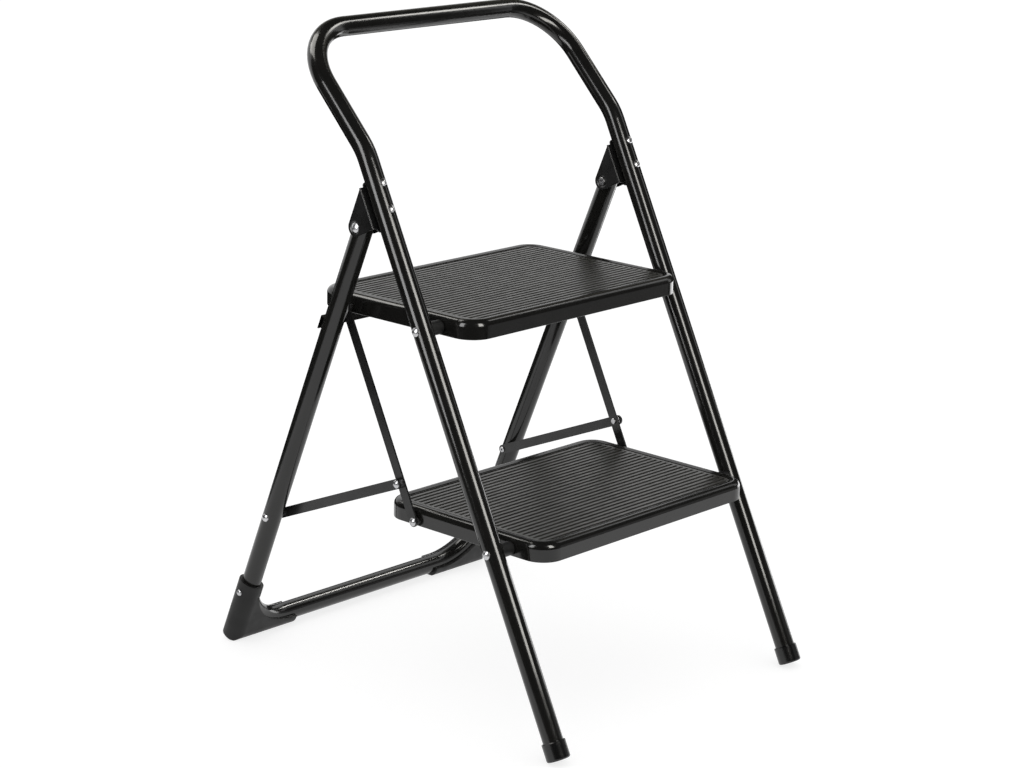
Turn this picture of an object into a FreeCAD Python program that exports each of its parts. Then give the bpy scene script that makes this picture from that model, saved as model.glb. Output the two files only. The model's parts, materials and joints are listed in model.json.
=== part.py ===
import FreeCAD, Part
import math
import os

# Folding two-step ladder in its open state, in millimetres and degrees.
# x runs across the ladder, y to the rear and z up. The floor is z = 0.
# The origin is on the floor, midway between the toes and the heels.

V = FreeCAD.Vector
X_AXIS = V(1, 0, 0)
Y_AXIS = V(0, 1, 0)
Z_AXIS = V(0, 0, 1)
ORIGIN = V(0, 0, 0)

# Fits
PIN_PLAY = 0.06          # radial play of a turning joint
SEAT_PLAY = 0.05         # radial play of a piece that is fixed on another
SIDE_PLAY = 0.3          # gap between pieces that turn side by side
NEAR = 0.01              # places closer than this count as one

# Tubes of both frames
TUBE_R = 12.7
TUBE_WALL = 1.2
LEG_SPACING = 457.0
BEND_R = 80.0

# Front frame, measured up its leg from the floor and behind the leg's axis
FRONT_LEAN = 26.3
HOOP_LEAN = 43.9
KINK_UP = 774.0
HOOP_RISE = 180.0
HINGE_UP = 690.5
HINGE_BEHIND = 42.6

# Rear frame, measured in its own leaning plane
REAR_LEAN = 22.0
REAR_BAR_Z = 16.2
REAR_TOP_PAST_HINGE = 14.0

# Caps of the front legs
CAP_R = 14.9
CAP_HEIGHT = 23.0
CAP_BASE = 4.0
CAP_ROUND = 2.5
CAP_CHAMFER = 0.8
CAP_WORN_FLAT = 0.6

# Boots of the rear frame
BOOT_R = 17.0
BOOT_RIM_UP = 94.0
BOOT_RIM_SLANT = 11.0
BOOT_OPENING_UP = 76.0
BOOT_LIP = 2.5
BOOT_INNER_X = 136.0
BOOT_TIP_R = 20.5         # ball that blunts the outer corner
BOOT_RIVET_UP = 80.0

# Hinge brackets, folded from sheet
BRACKET_SHEET = 1.8
BRACKET_INSIDE = 13.9
BRACKET_TOP_UP = 732.0
BRACKET_CHEEK_R = 11.3
BRACKET_BEND_R = 1.3
BRACKET_TAB_HALF = 9.0
BRACKET_TAB_TOP_UP = 738.0
BRACKET_TAB_LOW_UP = 674.0
BRACKET_TAB_R = 5.0
BRACKET_RIVETS_UP = (695.5, 729.0)
DIMPLE_R = 6.6
DIMPLE_MOUTH_R = 8.4
DIMPLE_DEPTH = 0.9

# Treads: trays that turn on rivets in the front legs
UPPER_PIVOT_UP = 544.5
LOWER_PIVOT_UP = 264.0
TREAD_HALF_WIDTH = 198.7
TREAD_FRONT = 55.0
TREAD_REAR = 217.5
TREAD_ABOVE_PIVOT = 14.35
TREAD_BELOW_PIVOT = 10.25
TREAD_TILT = 0.25        # the rear is lower
TREAD_CORNER_R = 30.0
TREAD_EDGE_R = 8.5
TREAD_INNER_EDGE_R = 3.0
TREAD_HEM_R = 0.9
TREAD_SHEET = 1.2
RIM_WIDTH = 13.5
RIM_SLOPE = 4.5          # inner part of the rim, which falls towards the mat
RIM_DROP = 1.0
RECESS_DEPTH = 4.2

# Mats that lie in the trays
MAT_GAP = 0.8
MAT_BASE = 1.0
MAT_EDGE_R = 0.8
MAT_SIDE_BORDER = 5.0
MAT_END_BORDER = 1.3
GROOVE_COUNT = 28
GROOVE_PITCH = 8.8
GROOVE_WIDTH = 3.4
GROOVE_DEPTH = 1.6
GROOVE_DRAFT = 0.5

# Crossbar of the rear frame, an angle that the upper tread rests on
CROSSBAR_HEIGHT = 19.0
CROSSBAR_FRONT = 10.8
CROSSBAR_REAR = 17.0
CROSSBAR_SHEET = 1.5
CROSSBAR_PAST_LEG = 6.8

# Hangers and links, flat bars in two layers beside the treads
BAR_WIDTH = 13.0
BAR_SHEET = 2.5
HANGER_INNER_X = 202.5
LINK_INNER_X = 210.5
HANGER_PIN_BEHIND = 159.5
HANGER_PIN_BELOW = 5.0
LINK_PIN_UP_HANGER = 51.0
LINK_PIN_BELOW_HINGE = 443.9

# Rivets and what they carry
PIVOT_PIN_R = 4.0
BAR_PIN_R = 2.75
SMALL_PIN_R = 2.4
PIVOT_HEAD_R = 5.6
HINGE_HEAD_R = 6.2
BAR_HEAD_R = 5.3
BRACKET_HEAD_R = 4.9
BOOT_HEAD_R = 4.2
HEAD_HEIGHT = 2.4
HEAD_RIM = 0.5           # edge of a rivet's head under its dome
TAIL_HEIGHT = 1.6
TAIL_OVERHANG = 1.2
TAIL_BORE_SHARE = 0.55
TAIL_BORE_DEPTH = 3.0
BUSH_R = 9.0
BUSH_ROUND = 2.5
SPACER_R = 5.0

LEG_X = LEG_SPACING / 2


def sine(angle):
    return math.sin(math.radians(angle))


def cosine(angle):
    return math.cos(math.radians(angle))


# Places that follow from the dimensions

# A cap stands on the rounded rear edge of its end, worn to a narrow flat
CAP_EDGE_DROP = (CAP_R - CAP_ROUND) * sine(FRONT_LEAN) + CAP_ROUND - CAP_WORN_FLAT
CAP_END_UP = CAP_EDGE_DROP / cosine(FRONT_LEAN) - CAP_ROUND

# Depths from the point where the front leg's axis meets the floor
TOE = (CAP_END_UP + CAP_ROUND) * sine(FRONT_LEAN) - (CAP_R - CAP_ROUND) * cosine(FRONT_LEAN) - CAP_ROUND
HINGE_DEPTH = HINGE_UP * sine(FRONT_LEAN) + HINGE_BEHIND * cosine(FRONT_LEAN)
HINGE_Z = HINGE_UP * cosine(FRONT_LEAN) - HINGE_BEHIND * sine(FRONT_LEAN)
REAR_DEPTH = HINGE_DEPTH + HINGE_Z * sine(REAR_LEAN) / cosine(REAR_LEAN)
HEEL = REAR_DEPTH - REAR_BAR_Z * sine(REAR_LEAN) / cosine(REAR_LEAN) + BOOT_R

FRONT_Y = -(TOE + HEEL) / 2
REAR_Y = FRONT_Y + REAR_DEPTH

# Heights in the plane of the rear frame
REAR_BAR_UP = REAR_BAR_Z / cosine(REAR_LEAN)
REAR_HINGE_UP = HINGE_Z / cosine(REAR_LEAN)
LINK_PIN_UP = REAR_HINGE_UP - LINK_PIN_BELOW_HINGE
BOOT_CORNER = V(-LEG_X, 0, REAR_BAR_UP)


def front_point(up, behind=0.0):
    """Side-view place (y, z) of a point up the front leg and behind its axis."""
    y = FRONT_Y + up * sine(FRONT_LEAN) + behind * cosine(FRONT_LEAN)
    z = up * cosine(FRONT_LEAN) - behind * sine(FRONT_LEAN)
    return y, z


def rear_point(up):
    """Side-view place (y, z) of a point up the axis of the rear leg."""
    return REAR_Y - up * sine(REAR_LEAN), up * cosine(REAR_LEAN)


UPPER_PIVOT = front_point(UPPER_PIVOT_UP)
LOWER_PIVOT = front_point(LOWER_PIVOT_UP)


def hanger_pin(pivot):
    """Side-view place of the pin that joins a hanger to a tread."""
    return pivot[0] + HANGER_PIN_BEHIND, pivot[1] - HANGER_PIN_BELOW


UPPER_HANGER_PIN = hanger_pin(UPPER_PIVOT)
LOWER_HANGER_PIN = hanger_pin(LOWER_PIVOT)
# The hanger runs parallel to the front leg, because both treads carry it alike
LINK_FRONT_PIN = (LOWER_HANGER_PIN[0] + LINK_PIN_UP_HANGER * sine(FRONT_LEAN),
                  LOWER_HANGER_PIN[1] + LINK_PIN_UP_HANGER * cosine(FRONT_LEAN))
LINK_REAR_PIN = rear_point(LINK_PIN_UP)


# General shapes

def leaned(shape, lean, y):
    """Turns a piece drawn upright about the x axis, then moves it along y."""
    out = shape.copy()
    turn = FreeCAD.Placement(V(0, y, 0), FreeCAD.Rotation(X_AXIS, lean))
    out.Placement = turn.multiply(out.Placement)
    return out


def on_front_frame(shape):
    return leaned(shape, -FRONT_LEAN, FRONT_Y)


def on_rear_frame(shape):
    return leaned(shape, REAR_LEAN, REAR_Y)


def mirrored(shape):
    return shape.mirror(ORIGIN, X_AXIS)


def pair(left):
    """Both sides of the ladder in one shape."""
    return Part.makeCompound([left, mirrored(left)])


def moved(shape, x, y, z):
    out = shape.copy()
    out.translate(V(x, y, z))
    return out


def disc_x(radius, x_from, x_to, y=0.0, z=0.0):
    """Cylinder along x between two x values."""
    return Part.makeCylinder(radius, x_to - x_from, V(x_from, y, z), X_AXIS)


def cone_x(radius_from, radius_to, x_from, x_to, y, z):
    """Cone along x between two x values, with its radius at each."""
    return Part.makeCone(radius_from, radius_to, x_to - x_from, V(x_from, y, z), X_AXIS)


def under_floor(y, reach):
    """Block under the floor round the left foot at a depth."""
    return Part.makeBox(2 * reach, 2 * reach, reach, V(-LEG_X - reach, y - reach, -reach))


def bent_path(points, radius):
    """Straight runs joined by tangent arcs of one radius."""
    edges = []
    start = points[0]
    for before, corner, after in zip(points, points[1:], points[2:]):
        come = (corner - before).normalize()
        go = (after - corner).normalize()
        half_turn = come.getAngle(go) / 2
        tangent = radius * math.tan(half_turn)
        inward = (go - come).normalize()
        arc_start = corner - come * tangent
        arc_middle = corner + inward * (radius / math.cos(half_turn) - radius)
        arc_end = corner + go * tangent
        edges.append(Part.LineSegment(start, arc_start).toShape())
        edges.append(Part.Arc(arc_start, arc_middle, arc_end).toShape())
        start = arc_end
    edges.append(Part.LineSegment(start, points[-1]).toShape())
    return Part.Wire(edges)


def rod_along(points, rod_radius):
    """Solid round bar that follows a bent path."""
    path = bent_path(points, BEND_R)
    direction = points[1] - points[0]
    section = Part.Wire(Part.makeCircle(rod_radius, points[0], direction))
    return path.makePipeShell([section], True, False)


def rounded_slab(half_width, y_from, y_to, z_from, z_to, corner_r):
    """Flat block with rounded upright edges."""
    block = Part.makeBox(2 * half_width, y_to - y_from, z_to - z_from, V(-half_width, y_from, z_from))
    return block.makeFillet(corner_r, edges_along(block, Z_AXIS))


def edges_along(shape, axis):
    """Straight edges of a shape that run along an axis."""
    return [e for e in shape.Edges if e.tangentAt(e.FirstParameter).cross(axis).Length < NEAR]


def edges_at_height(shape, z):
    """Edges of a shape that end at one height."""
    return [e for e in shape.Edges if all(abs(end.Z - z) < NEAR for end in e.Vertexes)]


def edges_at_side(shape, x):
    """Edges of a shape that end at one x value."""
    return [e for e in shape.Edges if all(abs(end.X - x) < NEAR for end in e.Vertexes)]


def domed_head(head_r, rim):
    """Round rivet head on the plane x = 0, with a dome on a straight rim, rising towards -x."""
    top = V(-rim - HEAD_HEIGHT, 0, 0)
    corner = V(-rim, 0, head_r)
    ball_r = (head_r ** 2 + HEAD_HEIGHT ** 2) / (2 * HEAD_HEIGHT)
    half_angle = math.asin(head_r / ball_r) / 2
    middle = V(top.x + ball_r * (1 - math.cos(half_angle)), 0, ball_r * math.sin(half_angle))
    base = V(0, 0, head_r)
    edges = [Part.Arc(top, middle, corner).toShape(),
             Part.LineSegment(corner, base).toShape(),
             Part.LineSegment(base, ORIGIN).toShape(),
             Part.LineSegment(ORIGIN, top).toShape()]
    return Part.Face(Part.Wire(edges)).revolve(ORIGIN, X_AXIS, 360)


def rolled_tail(pin_r):
    """Rolled hollow end of a rivet, from x = 0 towards +x."""
    disc = disc_x(pin_r + TAIL_OVERHANG, 0, TAIL_HEIGHT)
    return disc.makeChamfer(TAIL_HEIGHT / 3, edges_at_side(disc, TAIL_HEIGHT))


def rivet(pin_r, head_r, x_head, x_tail, y, z, rim=HEAD_RIM):
    """Left-hand rivet along x: head at the outer plane, rolled tail at the inner one."""
    shank = disc_x(pin_r, x_head, x_tail, y, z)
    head = moved(domed_head(head_r, rim), x_head, y, z)
    tail = moved(rolled_tail(pin_r), x_tail, y, z)
    x_end = x_tail + TAIL_HEIGHT
    bore = disc_x(pin_r * TAIL_BORE_SHARE, x_end - TAIL_BORE_DEPTH, x_end + TAIL_HEIGHT, y, z)
    return shank.fuse([head, tail]).cut(bore).removeSplitter()


def rivet_on_tube(pin_r, head_r, tube_x, tube_r, x_tail, up):
    """Left-hand rivet whose head is hollowed to sit on an upright tube."""
    sink = tube_r - math.sqrt(tube_r ** 2 - head_r ** 2)
    one = rivet(pin_r, head_r, tube_x - tube_r + sink, x_tail, 0, up, sink + HEAD_RIM)
    reach = 2 * head_r
    skin = Part.makeCylinder(tube_r, 2 * reach, V(tube_x, 0, up - reach))
    skin = skin.cut(Part.makeCylinder(tube_r - 2 * sink, 2 * reach, V(tube_x, 0, up - reach)))
    return one.cut(skin.cut(disc_x(pin_r + SEAT_PLAY, tube_x - 2 * tube_r, tube_x + 2 * tube_r, 0, up)))


# Front frame

def front_tube():
    """Two legs and the hoop, bent from one tube, with holes for its rivets."""
    turn_back = HOOP_LEAN - FRONT_LEAN
    foot = CAP_END_UP + CAP_BASE
    top_y = HOOP_RISE * sine(turn_back)
    top_z = KINK_UP + HOOP_RISE * cosine(turn_back)
    points = [V(-LEG_X, 0, foot), V(-LEG_X, 0, KINK_UP), V(-LEG_X, top_y, top_z),
              V(LEG_X, top_y, top_z), V(LEG_X, 0, KINK_UP), V(LEG_X, 0, foot)]
    tube = rod_along(points, TUBE_R).cut(rod_along(points, TUBE_R - TUBE_WALL))
    across = [disc_x(PIVOT_PIN_R + SEAT_PLAY, -2 * LEG_X, 2 * LEG_X, 0, up)
              for up in (UPPER_PIVOT_UP, LOWER_PIVOT_UP)]
    through = [Part.makeCylinder(SMALL_PIN_R + SEAT_PLAY, 4 * TUBE_R, V(x, -2 * TUBE_R, up), Y_AXIS)
               for x in (-LEG_X, LEG_X) for up in BRACKET_RIVETS_UP]
    return on_front_frame(tube.cut(across + through))


def leg_rod():
    """Outside of the left front leg, upright, for fitting pieces against it."""
    return Part.makeCylinder(TUBE_R, KINK_UP, V(-LEG_X, 0, 0))


def foot_cap():
    """Left cap: a cup over the leg's end, worn flat where it meets the floor."""
    outside = Part.makeCylinder(CAP_R, CAP_HEIGHT, V(-LEG_X, 0, CAP_END_UP))
    outside = outside.makeFillet(CAP_ROUND, edges_at_height(outside, CAP_END_UP))
    outside = outside.makeChamfer(CAP_CHAMFER, edges_at_height(outside, CAP_END_UP + CAP_HEIGHT))
    inside = Part.makeCylinder(TUBE_R + SEAT_PLAY, CAP_HEIGHT, V(-LEG_X, 0, CAP_END_UP + CAP_BASE))
    return on_front_frame(outside.cut(inside)).cut(under_floor(FRONT_Y, 2 * CAP_R))


def bracket_cheek():
    """Outline of one cheek, from the web back to a round end about the hinge."""
    low = HINGE_UP - BRACKET_CHEEK_R
    back = HINGE_BEHIND - TUBE_R
    rise = BRACKET_TOP_UP - HINGE_UP
    tangent_angle = math.atan2(rise, -back) - math.acos(BRACKET_CHEEK_R / math.hypot(back, rise))

    def on_round(angle):
        y = HINGE_BEHIND + BRACKET_CHEEK_R * math.cos(angle)
        z = HINGE_UP + BRACKET_CHEEK_R * math.sin(angle)
        return V(0, y, z)

    low_front = V(0, TUBE_R, low)
    top_front = V(0, TUBE_R, BRACKET_TOP_UP)
    low_round = on_round(-math.pi / 2)
    top_round = on_round(tangent_angle)
    edges = [Part.LineSegment(low_front, low_round).toShape(),
             Part.Arc(low_round, on_round((tangent_angle - math.pi / 2) / 2), top_round).toShape(),
             Part.LineSegment(top_round, top_front).toShape(),
             Part.LineSegment(top_front, low_front).toShape()]
    return Part.Face(Part.Wire(edges))


def hinge_bracket():
    """Left bracket: a web on the back of the leg, and two cheeks dimpled round the hinge."""
    outside = BRACKET_INSIDE + BRACKET_SHEET
    low = HINGE_UP - BRACKET_CHEEK_R
    web = Part.makeBox(2 * outside, BRACKET_SHEET, BRACKET_TOP_UP - low, V(-outside, TUBE_R, low))
    tab = Part.makeBox(2 * BRACKET_TAB_HALF, BRACKET_SHEET, BRACKET_TAB_TOP_UP - BRACKET_TAB_LOW_UP,
                       V(-BRACKET_TAB_HALF, TUBE_R, BRACKET_TAB_LOW_UP))
    tab = tab.makeFillet(BRACKET_TAB_R, edges_along(tab, Y_AXIS))
    cheek = bracket_cheek().extrude(V(BRACKET_SHEET, 0, 0))
    channel = web.fuse([moved(cheek, BRACKET_INSIDE, 0, 0), moved(cheek, -outside, 0, 0)]).removeSplitter()
    folds = [e for e in channel.Edges
             if abs(abs(e.CenterOfMass.x) - outside) < NEAR and abs(e.CenterOfMass.y - TUBE_R) < NEAR]
    channel = channel.makeFillet(BRACKET_BEND_R, folds).fuse(tab).removeSplitter()
    bosses = both_dimples(BRACKET_INSIDE)
    hollows = both_dimples(outside)
    pin_hole = disc_x(PIVOT_PIN_R + SEAT_PLAY, -2 * outside, 2 * outside, HINGE_BEHIND, HINGE_UP)
    rivet_holes = [Part.makeCylinder(SMALL_PIN_R + SEAT_PLAY, 4 * TUBE_R, V(0, 0, up), Y_AXIS)
                   for up in BRACKET_RIVETS_UP]
    bracket = channel.fuse(bosses).cut(hollows + [pin_hole] + rivet_holes).removeSplitter()
    return on_front_frame(moved(bracket, -LEG_X, 0, 0))


def both_dimples(face_x):
    """Flared plugs round the hinge that go inwards from the faces at -face_x and face_x."""
    left = cone_x(DIMPLE_MOUTH_R, DIMPLE_R, -face_x, -face_x + DIMPLE_DEPTH, HINGE_BEHIND, HINGE_UP)
    return [left, mirrored(left)]


def bracket_rivets():
    """Two rivets through the left leg and its bracket, heads in front."""
    rivets = []
    for up in BRACKET_RIVETS_UP:
        one = rivet_on_tube(SMALL_PIN_R, BRACKET_HEAD_R, 0, TUBE_R, TUBE_R + BRACKET_SHEET, up)
        one.rotate(ORIGIN, Z_AXIS, 90)
        rivets.append(moved(one, -LEG_X, 0, 0))
    return on_front_frame(Part.makeCompound(rivets))


def hinge_pin():
    """Left hinge rivet through both cheeks and the rear leg between them."""
    floor_of_dimple = BRACKET_INSIDE + BRACKET_SHEET - DIMPLE_DEPTH
    pin = rivet(PIVOT_PIN_R, HINGE_HEAD_R, -LEG_X - floor_of_dimple, -LEG_X + floor_of_dimple,
                HINGE_BEHIND, HINGE_UP)
    return on_front_frame(pin)


def tread_pivot_rivet(up):
    """Left rivet that carries a tread: through the leg, the bush and the tread's skirt."""
    x_tail = -TREAD_HALF_WIDTH + TREAD_SHEET + SIDE_PLAY
    return on_front_frame(rivet_on_tube(PIVOT_PIN_R, PIVOT_HEAD_R, -LEG_X, TUBE_R, x_tail, up))


def tread_bush(up):
    """Left bush that keeps a tread clear of the leg, hollowed to sit against the tube."""
    x_end = -TREAD_HALF_WIDTH - SIDE_PLAY
    bush = disc_x(BUSH_R, -LEG_X, x_end, 0, up)
    bush = bush.makeFillet(BUSH_ROUND, edges_at_side(bush, x_end))
    bore = disc_x(PIVOT_PIN_R + SEAT_PLAY, -2 * LEG_X, 0, 0, up)
    return on_front_frame(bush.cut([leg_rod(), bore]))


# Rear frame

def rear_path():
    top = REAR_HINGE_UP + REAR_TOP_PAST_HINGE
    return [V(-LEG_X, 0, top), V(-LEG_X, 0, REAR_BAR_UP), V(LEG_X, 0, REAR_BAR_UP), V(LEG_X, 0, top)]


def rear_tube():
    """Two legs and the floor bar, bent from one tube, with holes for its rivets."""
    tube = rod_along(rear_path(), TUBE_R).cut(rod_along(rear_path(), TUBE_R - TUBE_WALL))
    holes = [disc_x(PIVOT_PIN_R + PIN_PLAY, -2 * LEG_X, 2 * LEG_X, 0, REAR_HINGE_UP),
             disc_x(BAR_PIN_R + SEAT_PLAY, -2 * LEG_X, 2 * LEG_X, 0, LINK_PIN_UP)]
    for x_from in (-2 * LEG_X, LEG_X):
        holes.append(disc_x(SMALL_PIN_R + SEAT_PLAY, x_from, x_from + LEG_X, 0, BOOT_RIVET_UP))
    return on_rear_frame(tube.cut(holes))


def boot():
    """Left boot: a sleeve on the leg and a round foot along the bar, meeting in a blunt corner."""
    sleeve = Part.makeCylinder(BOOT_R, BOOT_RIM_UP + BOOT_R - REAR_BAR_UP, BOOT_CORNER).cut(above_boot_rim())
    outside = sleeve.fuse([boot_foot(), boot_tip()]).removeSplitter()
    outside = on_rear_frame(outside).cut(under_floor(REAR_Y, 2 * BOOT_RIM_UP))
    rivet_hole = disc_x(SMALL_PIN_R + SEAT_PLAY, -2 * LEG_X, -LEG_X, 0, BOOT_RIVET_UP)
    hollows = [boot_opening(), rod_along(rear_path(), TUBE_R + SEAT_PLAY), rivet_hole]
    return outside.cut([on_rear_frame(one) for one in hollows]).removeSplitter()


def boot_foot():
    """Foot round the bar, with upright sides for the gusset and the cradle."""
    low_front = BOOT_CORNER - Y_AXIS * BOOT_R
    low_rear = BOOT_CORNER + Y_AXIS * BOOT_R
    rise = Z_AXIS * (BOOT_OPENING_UP - REAR_BAR_UP)
    edges = [Part.Arc(low_front, BOOT_CORNER - Z_AXIS * BOOT_R, low_rear).toShape(),
             Part.LineSegment(low_rear, low_rear + rise).toShape(),
             Part.LineSegment(low_rear + rise, low_front + rise).toShape(),
             Part.LineSegment(low_front + rise, low_front).toShape()]
    return Part.Face(Part.Wire(edges)).extrude(X_AXIS * (LEG_X - BOOT_INNER_X))


def boot_tip():
    """Mitred corner of sleeve and foot, blunted by a ball."""
    upright = Part.makeCylinder(BOOT_R, 2 * BOOT_R, BOOT_CORNER - Z_AXIS * BOOT_R)
    level = Part.makeCylinder(BOOT_R, 2 * BOOT_R, BOOT_CORNER - X_AXIS * BOOT_R, X_AXIS)
    return upright.common(level).common(Part.makeSphere(BOOT_TIP_R, BOOT_CORNER))


def above_boot_rim():
    """Block whose underside is the slanted plane of the boot's rim."""
    reach = 2 * BOOT_R
    block = Part.makeBox(2 * reach, 2 * reach, reach, V(-LEG_X - reach, -reach, BOOT_RIM_UP))
    block.rotate(V(-LEG_X, 0, BOOT_RIM_UP), Y_AXIS, BOOT_RIM_SLANT)
    return block


def boot_opening():
    """Space over the lip of the boot, where the bend of the tube shows."""
    centre_x = -LEG_X + BEND_R
    centre_z = REAR_BAR_UP + BEND_R
    lip_r = BEND_R - BOOT_LIP

    def on_lip(angle):
        return V(centre_x + lip_r * cosine(angle), -2 * BOOT_R, centre_z + lip_r * sine(angle))

    side_angle = 180 + math.degrees(math.asin((centre_z - BOOT_OPENING_UP) / lip_r))
    side = on_lip(side_angle)
    bottom = on_lip(270)
    low_end = V(0, -2 * BOOT_R, bottom.z)
    high_end = V(0, -2 * BOOT_R, side.z)
    edges = [Part.Arc(side, on_lip((side_angle + 270) / 2), bottom).toShape(),
             Part.LineSegment(bottom, low_end).toShape(),
             Part.LineSegment(low_end, high_end).toShape(),
             Part.LineSegment(high_end, side).toShape()]
    return Part.Face(Part.Wire(edges)).extrude(V(0, 4 * BOOT_R, 0))


def boot_rivet():
    """Left blind rivet that holds the boot on its leg, with its tail inside the tube."""
    x_tail = -LEG_X - TUBE_R + TUBE_WALL + 2 * TAIL_HEIGHT
    return on_rear_frame(rivet_on_tube(SMALL_PIN_R, BOOT_HEAD_R, -LEG_X, BOOT_R, x_tail, BOOT_RIVET_UP))


def crossbar():
    """Angle welded behind the rear legs, cut to the tubes, with its flange under the upper tread."""
    slope = sine(TREAD_TILT) / cosine(TREAD_TILT)
    behind_pivot = REAR_Y + CROSSBAR_REAR * cosine(REAR_LEAN) - UPPER_PIVOT[0]
    rest_z = UPPER_PIVOT[1] - TREAD_BELOW_PIVOT / cosine(TREAD_TILT) - SIDE_PLAY - behind_pivot * slope
    top = (rest_z - CROSSBAR_REAR * sine(REAR_LEAN)) / (cosine(REAR_LEAN) - sine(REAR_LEAN) * slope)
    low = top - CROSSBAR_HEIGHT
    half = LEG_X + CROSSBAR_PAST_LEG
    depth = CROSSBAR_REAR - CROSSBAR_FRONT
    outside = Part.makeBox(2 * half, depth, CROSSBAR_HEIGHT, V(-half, CROSSBAR_FRONT, low))
    inside = Part.makeBox(2 * half, depth, CROSSBAR_HEIGHT,
                          V(-half, CROSSBAR_FRONT - CROSSBAR_SHEET, low - CROSSBAR_SHEET))
    legs = [Part.makeCylinder(TUBE_R, REAR_HINGE_UP, V(x, 0, 0)) for x in (-LEG_X, LEG_X)]
    return on_rear_frame(outside.cut([inside] + legs))


def link_rear_rivet():
    """Left rivet that joins a link to the rear leg, with its head outside the leg."""
    x_tail = -LINK_INNER_X + SIDE_PLAY
    return on_rear_frame(rivet_on_tube(BAR_PIN_R, BAR_HEAD_R, -LEG_X, TUBE_R, x_tail, LINK_PIN_UP))


def link_rear_spacer():
    """Left spacer between the rear leg and the link."""
    tube = Part.makeCylinder(TUBE_R, REAR_HINGE_UP, V(-LEG_X, 0, 0))
    spacer = disc_x(SPACER_R, -LEG_X, -LINK_INNER_X - BAR_SHEET - SIDE_PLAY, 0, LINK_PIN_UP)
    bore = disc_x(BAR_PIN_R + SEAT_PLAY, -2 * LEG_X, 0, 0, LINK_PIN_UP)
    return on_rear_frame(spacer.cut([tube, bore]))


# Treads, drawn about their pivot line

def tilted(shape):
    """Turns a tread's piece about the pivot line, so that its rear is lower."""
    out = shape.copy()
    out.rotate(ORIGIN, X_AXIS, -TREAD_TILT)
    return out


def tread_slab(inset, z_from, z_to):
    """Slab with the tread's outline, drawn in by an inset."""
    return rounded_slab(TREAD_HALF_WIDTH - inset, -TREAD_FRONT + inset, TREAD_REAR - inset,
                        z_from, z_to, TREAD_CORNER_R - inset)


def tread_outline(inset, z):
    """Outline of the tread at a height, drawn in by an inset."""
    slab = tread_slab(inset, z, z + RECESS_DEPTH)
    return min(slab.Faces, key=lambda face: face.CenterOfMass.z).OuterWire


def rim_funnel():
    """Space over the inner part of the rim."""
    top = TREAD_ABOVE_PIVOT
    low_outline = tread_outline(RIM_WIDTH, top - RIM_DROP)
    high_outline = tread_outline(RIM_WIDTH - 2 * RIM_SLOPE, top + RIM_DROP)
    return Part.makeLoft([low_outline, high_outline], True, True)


def tray():
    """Pressed tray: a rim that falls to a shallow recess, and a skirt all round."""
    top = TREAD_ABOVE_PIVOT
    low = -TREAD_BELOW_PIVOT
    panel = top - RECESS_DEPTH
    ceiling = panel - TREAD_SHEET
    block = tread_slab(0, low, top)
    block = block.makeFillet(TREAD_EDGE_R, edges_at_height(block, top))
    block = block.makeFillet(TREAD_HEM_R, edges_at_height(block, low))
    block = block.cut([tread_slab(RIM_WIDTH, panel, top), rim_funnel()])
    under = tread_slab(TREAD_SHEET, low - RECESS_DEPTH, ceiling)
    under = under.makeFillet(TREAD_INNER_EDGE_R, edges_at_height(under, ceiling))
    pivot_hole = disc_x(PIVOT_PIN_R + PIN_PLAY, -LEG_X, LEG_X)
    hanger_hole = disc_x(BAR_PIN_R + SEAT_PLAY, -LEG_X, LEG_X, HANGER_PIN_BEHIND, -HANGER_PIN_BELOW)
    return tilted(block.cut(under)).cut([pivot_hole, hanger_hole])


def mat():
    """Rubber mat with grooves across the tread, inside a plain border."""
    floor = TREAD_ABOVE_PIVOT - RECESS_DEPTH
    top = floor + MAT_BASE + GROOVE_DEPTH
    inset = RIM_WIDTH + MAT_GAP
    slab = tread_slab(inset, floor, top)
    slab = slab.makeFillet(MAT_EDGE_R, edges_at_height(slab, top))
    middle = (TREAD_REAR - TREAD_FRONT) / 2
    first = middle - GROOVE_PITCH * (GROOVE_COUNT - 1) / 2
    half = GROOVE_WIDTH / 2
    grooves = []
    for index in range(GROOVE_COUNT):
        y = first + index * GROOVE_PITCH
        corners = [V(-LEG_X, y - half, top - GROOVE_DEPTH), V(-LEG_X, y + half, top - GROOVE_DEPTH),
                   V(-LEG_X, y + half + GROOVE_DRAFT, top), V(-LEG_X, y - half - GROOVE_DRAFT, top)]
        section = Part.Face(Part.makePolygon(corners + corners[:1]))
        grooves.append(section.extrude(V(2 * LEG_X, 0, 0)))
    end = inset + MAT_END_BORDER
    field = rounded_slab(TREAD_HALF_WIDTH - inset - MAT_SIDE_BORDER, -TREAD_FRONT + end, TREAD_REAR - end,
                         floor, top + MAT_BASE, TREAD_CORNER_R - end)
    return tilted(slab.cut(Part.makeCompound(grooves).common(field)))


def hanger_rivet():
    """Left rivet that joins a tread to its hanger, with its head outside the hanger."""
    x_head = -HANGER_INNER_X - BAR_SHEET - SIDE_PLAY
    x_tail = -TREAD_HALF_WIDTH + TREAD_SHEET
    return rivet(BAR_PIN_R, BAR_HEAD_R, x_head, x_tail, HANGER_PIN_BEHIND, -HANGER_PIN_BELOW)


def hanger_spacer():
    """Left spacer between a tread's skirt and its hanger."""
    x_from = -HANGER_INNER_X + SIDE_PLAY
    spacer = disc_x(SPACER_R, x_from, -TREAD_HALF_WIDTH, HANGER_PIN_BEHIND, -HANGER_PIN_BELOW)
    bore = disc_x(BAR_PIN_R + SEAT_PLAY, -LEG_X, 0, HANGER_PIN_BEHIND, -HANGER_PIN_BELOW)
    return spacer.cut(bore)


def at_pivot(shape, pivot):
    return moved(shape, 0, pivot[0], pivot[1])


# Hangers and links

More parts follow.
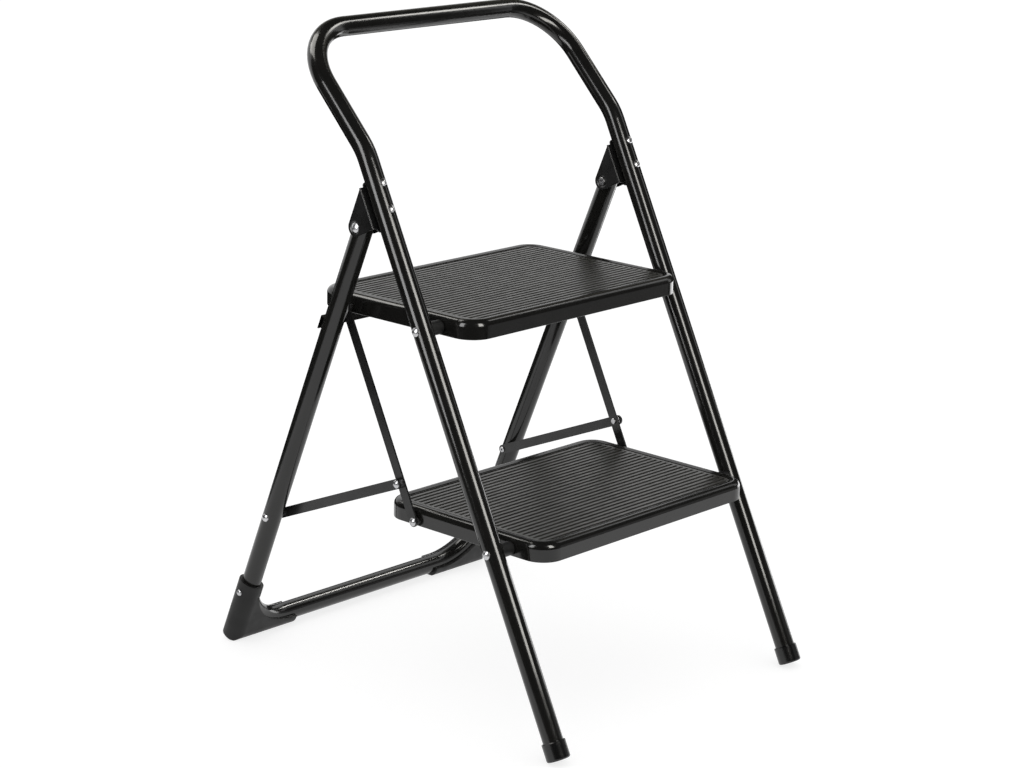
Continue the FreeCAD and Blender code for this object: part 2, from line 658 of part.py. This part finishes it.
def flat_bar(first, last, inner_x, holes):
    """Left flat bar with round ends between two side-view places, with holes of given radii."""
    start = V(-inner_x - BAR_SHEET, first[0], first[1])
    end = V(-inner_x - BAR_SHEET, last[0], last[1])
    along = (end - start).normalize() * (BAR_WIDTH / 2)
    side = X_AXIS.cross(along)
    edges = [Part.LineSegment(start + side, end + side).toShape(),
             Part.Arc(end + side, end + along, end - side).toShape(),
             Part.LineSegment(end - side, start - side).toShape(),
             Part.Arc(start - side, start - along, start + side).toShape()]
    bar = Part.Face(Part.Wire(edges)).extrude(V(BAR_SHEET, 0, 0))
    return bar.cut([disc_x(radius, -LEG_X, 0, place[0], place[1]) for place, radius in holes])


def hanger():
    """Left hanger, from the upper tread down to the lower one."""
    turning = BAR_PIN_R + PIN_PLAY
    fixed = BAR_PIN_R + SEAT_PLAY
    holes = [(UPPER_HANGER_PIN, turning), (LOWER_HANGER_PIN, turning), (LINK_FRONT_PIN, fixed)]
    return flat_bar(UPPER_HANGER_PIN, LOWER_HANGER_PIN, HANGER_INNER_X, holes)


def link():
    """Left link, from the rear leg to the hanger."""
    holes = [(LINK_REAR_PIN, BAR_PIN_R + PIN_PLAY), (LINK_FRONT_PIN, BAR_PIN_R + SEAT_PLAY)]
    return flat_bar(LINK_REAR_PIN, LINK_FRONT_PIN, LINK_INNER_X, holes)


# The rivet between link and hanger is split in the gap between the two bars
SPLIT_X = (HANGER_INNER_X + BAR_SHEET + LINK_INNER_X) / 2


def link_front_rivet_outer():
    """Outer half of the left rivet, fixed in the link, with a collar inside the link."""
    y, z = LINK_FRONT_PIN
    x_head = -LINK_INNER_X - BAR_SHEET
    x_split = -SPLIT_X - SIDE_PLAY / 2
    shank = disc_x(BAR_PIN_R, x_head, x_split, y, z)
    collar = disc_x(SPACER_R, -LINK_INNER_X, x_split, y, z)
    return shank.fuse([moved(domed_head(BAR_HEAD_R, HEAD_RIM), x_head, y, z), collar]).removeSplitter()


def link_front_rivet_inner():
    """Inner half of the left rivet, fixed in the hanger, with a collar outside the hanger."""
    y, z = LINK_FRONT_PIN
    x_split = -SPLIT_X + SIDE_PLAY / 2
    shank = disc_x(BAR_PIN_R, x_split, -HANGER_INNER_X, y, z)
    collar = disc_x(SPACER_R, x_split, -HANGER_INNER_X - BAR_SHEET, y, z)
    tail = moved(rolled_tail(BAR_PIN_R), -HANGER_INNER_X, y, z)
    return shank.fuse([collar, tail]).removeSplitter()


def all_parts():
    """Every piece by its name."""
    parts = {
        "front_frame_tube": front_tube(),
        "rear_frame_tube": rear_tube(),
        "rear_crossbar": crossbar(),
        "bracket_rivets": pair(bracket_rivets()),
        "hinge_pins": pair(hinge_pin()),
        "boot_rivets": pair(boot_rivet()),
        "link_rear_rivets": pair(link_rear_rivet()),
    }
    sided = {
        "foot_cap": foot_cap(),
        "hinge_bracket": hinge_bracket(),
        "rear_boot": boot(),
        "link_rear_spacer": link_rear_spacer(),
        "hanger": hanger(),
        "link": link(),
        "link_rivet": link_front_rivet_outer(),
        "hanger_stud": link_front_rivet_inner(),
    }
    levels = [("upper", UPPER_PIVOT_UP, UPPER_PIVOT), ("lower", LOWER_PIVOT_UP, LOWER_PIVOT)]
    for level, up, pivot in levels:
        parts[level + "_tread_tray"] = at_pivot(tray(), pivot)
        parts[level + "_tread_mat"] = at_pivot(mat(), pivot)
        parts[level + "_pivot_rivets"] = pair(tread_pivot_rivet(up))
        parts[level + "_hanger_rivets"] = at_pivot(pair(hanger_rivet()), pivot)
        parts[level + "_hanger_spacers"] = at_pivot(pair(hanger_spacer()), pivot)
        sided[level + "_pivot_bush"] = tread_bush(up)
    for name, left in sided.items():
        parts[name + "_left"] = left
        parts[name + "_right"] = mirrored(left)
    return parts


os.makedirs("parts", exist_ok=True)
for name, shape in all_parts().items():
    shape.exportStep("parts/" + name + ".step")
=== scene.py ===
import json
import math

import bpy
from mathutils import Matrix, Vector


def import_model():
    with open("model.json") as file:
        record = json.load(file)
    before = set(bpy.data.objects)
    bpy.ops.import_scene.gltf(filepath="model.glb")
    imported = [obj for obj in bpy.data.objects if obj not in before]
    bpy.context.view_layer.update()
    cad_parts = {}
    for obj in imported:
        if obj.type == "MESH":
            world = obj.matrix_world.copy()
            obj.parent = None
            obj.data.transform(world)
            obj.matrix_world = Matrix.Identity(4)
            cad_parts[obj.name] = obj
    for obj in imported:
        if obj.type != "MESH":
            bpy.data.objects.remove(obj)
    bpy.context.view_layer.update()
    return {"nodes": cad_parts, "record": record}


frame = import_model()

# The photograph's camera, in the frame of the part
IMAGE_WIDTH = 1024
SENSOR_WIDTH = 36.0
FOCAL_PIXELS = 2595.6
CAMERA_PLACE = Vector((-2.38897, -2.17724, 1.25764))
CAMERA_AZIMUTH = math.radians(-47.536)
CAMERA_ELEVATION = math.radians(15.385)
CAMERA_ROLL = math.radians(1.422)
CLIP_NEAR = 0.05
CLIP_FAR = 200

# Stage, in metres: a wide pale floor, a white dome, and lamps in front of dark cards
FLOOR_HALF = 40.0
FLOOR_ALBEDO = 0.36
FLOOR_LIFT = 0.775
DOME_LIGHT = 0.82
CARD_RADIUS = 1.25
CARD_STEPS = 48
CEILING_HEIGHT = 1.90
DARK_CARD = (0.030, 0.030, 0.030)
WARM_CARD = (0.26, 0.25, 0.21)
# First and last azimuth of each card in degrees, the heights of its edges, and its tone
CARDS = {"back_card": (20.0, 125.0, 0.0, 0.40, DARK_CARD),
         "right_card": (-32.0, 20.0, 0.0, 1.25, DARK_CARD),
         "front_card": (125.0, 328.0, 0.0, 1.90, DARK_CARD),
         "high_back_card": (-12.5, 100.0, 1.25, 1.90, WARM_CARD)}
WHITE = (1.0, 1.0, 1.0)
WARM_WHITE = (1.0, 0.98, 0.93)
FULL_SPREAD = 180.0
# Place and target of each soft box, its width, height, radiance, colour and cone in degrees
SOFT_BOXES = {
    "front_strip": ((-0.29, -1.18, 1.0), (-0.17, 0, 1.0), 0.52, 1.0, 12.0, WARM_WHITE, FULL_SPREAD),
    "left_strip": ((-1.17, 0.02, 0.90), (0, 0.02, 0.90), 0.40, 1.0, 7.0, WHITE, FULL_SPREAD),
    "right_strip": ((1.06, -0.50, 0.90), (0, -0.20, 0.90), 0.30, 0.8, 1.0, WHITE, FULL_SPREAD),
    "low_right_box": ((1.15, -0.20, 0.17), (0, -0.20, 0.17), 0.70, 0.3, 4.0, WHITE, FULL_SPREAD),
    "low_front_box": ((0.77, -0.92, 0.22), (0, 0, 0.22), 1.4, 0.36, 0.25, WHITE, FULL_SPREAD),
    "hoop_bar_box": ((0.92, -0.30, 1.60), (0, 0.174, 0.824), 0.24, 0.42, 0.35, WARM_WHITE, 30.0),
    "floor_bar_box": ((0.76, 0.079, 0.742), (0.05, 0.287, 0.016), 0.09, 0.75, 2.0, WARM_WHITE, 50.0),
    "back_ceiling_box": ((-0.35, 1.05, 1.60), (-0.35, 1.05, 0), 0.7, 1.2, 5.0, WARM_WHITE, FULL_SPREAD)}

# Coats: the noise that varies tone, gloss and skin, and the stretch of it that is used
TONE_SCALE = 25
TONE_DETAIL = 4
GLOSS_SCALE = 60
GLOSS_DETAIL = 3
SKIN_DETAIL = 2
NOISE_LOW = 0.3
NOISE_HIGH = 0.7


def camera():
    """Camera at the photograph's angle, without shift."""
    data = bpy.data.cameras.new("camera")
    data.sensor_width = SENSOR_WIDTH
    data.lens = FOCAL_PIXELS / IMAGE_WIDTH * SENSOR_WIDTH
    data.clip_start = CLIP_NEAR
    data.clip_end = CLIP_FAR
    back = Vector((math.sin(CAMERA_AZIMUTH) * math.cos(CAMERA_ELEVATION),
                   -math.cos(CAMERA_AZIMUTH) * math.cos(CAMERA_ELEVATION),
                   math.sin(CAMERA_ELEVATION)))
    level = Vector((0, 0, 1)).cross(back).normalized()
    upright = back.cross(level)
    right = level * math.cos(CAMERA_ROLL) + upright * math.sin(CAMERA_ROLL)
    up = upright * math.cos(CAMERA_ROLL) - level * math.sin(CAMERA_ROLL)
    obj = bpy.data.objects.new("camera", data)
    bpy.context.scene.collection.objects.link(obj)
    turn = Matrix((right, up, back)).transposed().to_4x4()
    obj.matrix_world = Matrix.Translation(CAMERA_PLACE) @ turn
    bpy.context.scene.camera = obj


# Node helpers

def add(tree, kind, **inputs):
    """New node with the values of its named inputs."""
    node = tree.nodes.new(kind)
    for name, value in inputs.items():
        node.inputs[name.replace("_", " ")].default_value = value
    return node


def math_node(tree, operation, first, second):
    node = tree.nodes.new("ShaderNodeMath")
    node.operation = operation
    for socket, value in zip(node.inputs, (first, second)):
        if isinstance(value, bpy.types.NodeSocket):
            tree.links.new(value, socket)
        else:
            socket.default_value = value
    return node.outputs[0]


def seen_rays(tree):
    """1 for camera, glossy and transmitted rays, 0 for those that light a surface."""
    path = tree.nodes.new("ShaderNodeLightPath")
    both = math_node(tree, "ADD", path.outputs["Is Camera Ray"], path.outputs["Is Glossy Ray"])
    total = math_node(tree, "ADD", both, path.outputs["Is Transmission Ray"])
    return math_node(tree, "MINIMUM", total, 1.0)


# Stage

def world():
    """Even soft dome that lights, and is seen as white."""
    scene_world = bpy.data.worlds.new("studio")
    bpy.context.scene.world = scene_world
    scene_world.use_nodes = True
    tree = scene_world.node_tree
    tree.nodes.clear()
    seen = add(tree, "ShaderNodeBackground", Color=(1, 1, 1, 1), Strength=1.0)
    dome = add(tree, "ShaderNodeBackground", Color=(1, 1, 1, 1), Strength=DOME_LIGHT)
    mix = tree.nodes.new("ShaderNodeMixShader")
    tree.links.new(seen_rays(tree), mix.inputs[0])
    tree.links.new(dome.outputs[0], mix.inputs[1])
    tree.links.new(seen.outputs[0], mix.inputs[2])
    out = tree.nodes.new("ShaderNodeOutputWorld")
    tree.links.new(mix.outputs[0], out.inputs["Surface"])


def floor_material():
    """Pale floor that keeps the shadow, lifted to white where it is seen."""
    material = bpy.data.materials.new("floor_white")
    material.use_nodes = True
    tree = material.node_tree
    tree.nodes.clear()
    paint = add(tree, "ShaderNodeBsdfDiffuse", Color=(FLOOR_ALBEDO, FLOOR_ALBEDO, FLOOR_ALBEDO, 1))
    lift = add(tree, "ShaderNodeEmission", Color=(1, 1, 1, 1))
    tree.links.new(math_node(tree, "MULTIPLY", seen_rays(tree), FLOOR_LIFT), lift.inputs["Strength"])
    both = tree.nodes.new("ShaderNodeAddShader")
    tree.links.new(paint.outputs[0], both.inputs[0])
    tree.links.new(lift.outputs[0], both.inputs[1])
    out = tree.nodes.new("ShaderNodeOutputMaterial")
    tree.links.new(both.outputs[0], out.inputs["Surface"])
    return material


def floor():
    mesh = bpy.data.meshes.new("floor")
    h = FLOOR_HALF
    mesh.from_pydata([(-h, -h, 0), (h, -h, 0), (h, h, 0), (-h, h, 0)], [], [(0, 1, 2, 3)])
    mesh.materials.append(floor_material())
    obj = bpy.data.objects.new("floor", mesh)
    bpy.context.scene.collection.objects.link(obj)


def on_ring(angle, height):
    """Place on the ring of cards, at an azimuth in degrees and a height."""
    return (CARD_RADIUS * math.cos(math.radians(angle)), CARD_RADIUS * math.sin(math.radians(angle)), height)


def card_material(name, tone):
    material = bpy.data.materials.new(name)
    material.use_nodes = True
    tree = material.node_tree
    tree.nodes.clear()
    paint = add(tree, "ShaderNodeBsdfDiffuse", Color=(tone[0], tone[1], tone[2], 1))
    out = tree.nodes.new("ShaderNodeOutputMaterial")
    tree.links.new(paint.outputs[0], out.inputs["Surface"])
    return material


def card(name, points, faces, tone):
    """Card that only mirrors in the gloss of the object."""
    mesh = bpy.data.meshes.new(name)
    mesh.from_pydata(points, [], faces)
    mesh.materials.append(card_material(name, tone))
    obj = bpy.data.objects.new(name, mesh)
    bpy.context.scene.collection.objects.link(obj)
    obj.visible_camera = False
    obj.visible_diffuse = False
    obj.visible_shadow = False


def surround():
    """Upright cards round the object, open where the back of the studio mirrors in it, and one overhead."""
    faces = [(2 * i, 2 * i + 2, 2 * i + 3, 2 * i + 1) for i in range(CARD_STEPS)]
    for name, (first, last, bottom, top, tone) in CARDS.items():
        points = []
        for index in range(CARD_STEPS + 1):
            angle = first + (last - first) * index / CARD_STEPS
            points += [on_ring(angle, bottom), on_ring(angle, top)]
        card(name, points, faces, tone)
    rim = [on_ring(360 * index / CARD_STEPS, CEILING_HEIGHT) for index in range(CARD_STEPS)]
    card("ceiling_card", rim, [tuple(range(CARD_STEPS))], DARK_CARD)


def glossy_nodes():
    """Collection of the nodes that take the soft boxes: all but the mats, which mirror them as white."""
    collection = bpy.data.collections.new("glossy_nodes")
    for part in frame["record"]["subparts"]:
        if part["material_slot"] != "black_rubber":
            collection.objects.link(frame["nodes"][part["node"]])
    return collection


def softbox(name, place, target, width, height, radiance, colour, spread, receivers):
    """Soft box for highlights on gloss, facing a target. A spread below 180 degrees narrows its cone."""
    data = bpy.data.lights.new(name, "AREA")
    data.shape = "RECTANGLE"
    data.size = width
    data.size_y = height
    data.color = colour
    data.spread = math.radians(spread)
    data.energy = radiance * math.pi * width * height
    obj = bpy.data.objects.new(name, data)
    bpy.context.scene.collection.objects.link(obj)
    obj.location = place
    obj.rotation_euler = (Vector(target) - Vector(place)).to_track_quat("-Z", "Y").to_euler()
    obj.visible_camera = False
    obj.visible_diffuse = False
    obj.light_linking.receiver_collection = receivers


def lamps():
    """Upright strips before the cards, and boxes that draw the lines on the bars and rims."""
    receivers = glossy_nodes()
    for name, values in SOFT_BOXES.items():
        softbox(name, *values, receivers)


# Materials

def painted(name, dark, light, rough_low, rough_high, peel_scale, peel_height):
    """Coated surface: a mottled tone, uneven gloss and a fine skin, all in object space."""
    material = bpy.data.materials.new(name)
    material.use_nodes = True
    tree = material.node_tree
    shader = tree.nodes["Principled BSDF"]
    coordinates = tree.nodes.new("ShaderNodeTexCoord").outputs["Object"]

    def noise(scale, detail):
        node = add(tree, "ShaderNodeTexNoise", Scale=scale, Detail=detail)
        tree.links.new(coordinates, node.inputs["Vector"])
        return node.outputs["Fac"]

    def ranged(value, low, high):
        node = tree.nodes.new("ShaderNodeMapRange")
        tree.links.new(value, node.inputs["Value"])
        node.inputs["From Min"].default_value = NOISE_LOW
        node.inputs["From Max"].default_value = NOISE_HIGH
        node.inputs["To Min"].default_value = low
        node.inputs["To Max"].default_value = high
        return node.outputs[0]

    tone = tree.nodes.new("ShaderNodeMix")
    tone.data_type = "RGBA"
    tree.links.new(ranged(noise(TONE_SCALE, TONE_DETAIL), 0, 1), tone.inputs["Factor"])
    tone.inputs["A"].default_value = (dark[0], dark[1], dark[2], 1)
    tone.inputs["B"].default_value = (light[0], light[1], light[2], 1)
    tree.links.new(tone.outputs["Result"], shader.inputs["Base Color"])
    gloss = ranged(noise(GLOSS_SCALE, GLOSS_DETAIL), rough_low, rough_high)
    tree.links.new(gloss, shader.inputs["Roughness"])
    skin = add(tree, "ShaderNodeBump", Strength=1.0, Distance=peel_height)
    tree.links.new(noise(peel_scale, SKIN_DETAIL), skin.inputs["Height"])
    tree.links.new(skin.outputs[0], shader.inputs["Normal"])
    return material


def gloss_paint():
    return painted("gloss_black_powder_coat", (0.0095, 0.0093, 0.0085), (0.0135, 0.0131, 0.012),
                   0.13, 0.18, 160, 0.000003)


def satin_paint():
    return painted("satin_black_powder_coat", (0.012, 0.012, 0.012), (0.018, 0.018, 0.018),
                   0.24, 0.32, 900, 0.00002)


def zinc():
    material = painted("bright_zinc_plate", (0.48, 0.48, 0.49), (0.58, 0.58, 0.59), 0.26, 0.34, 1500, 0.00001)
    material.node_tree.nodes["Principled BSDF"].inputs["Metallic"].default_value = 1.0
    return material


def rubber():
    return painted("black_ribbed_rubber", (0.042, 0.041, 0.036), (0.058, 0.056, 0.050),
                   0.32, 0.40, 2600, 0.00003)


def matte_plastic():
    material = painted("moulded_black_plastic", (0.009, 0.009, 0.009), (0.014, 0.014, 0.014),
                       0.42, 0.55, 1800, 0.00004)
    material.node_tree.nodes["Principled BSDF"].inputs["Specular IOR Level"].default_value = 0.3
    return material


def gloss_plastic():
    return painted("smooth_black_plastic", (0.006, 0.006, 0.006), (0.010, 0.010, 0.010),
                   0.14, 0.22, 140, 0.00006)


def dress(materials):
    """Gives each node the material of its slot in the record."""
    for part in frame["record"]["subparts"]:
        obj = frame["nodes"][part["node"]]
        obj.data.materials.clear()
        obj.data.materials.append(materials[part["material_slot"]])


bpy.context.scene.view_settings.view_transform = "Standard"
camera()
world()
floor()
surround()
lamps()
dress({"gloss_black_paint": gloss_paint(), "satin_black_paint": satin_paint(), "bright_zinc": zinc(),
       "black_rubber": rubber(), "matte_black_plastic": matte_plastic(),
       "gloss_black_plastic": gloss_plastic()})
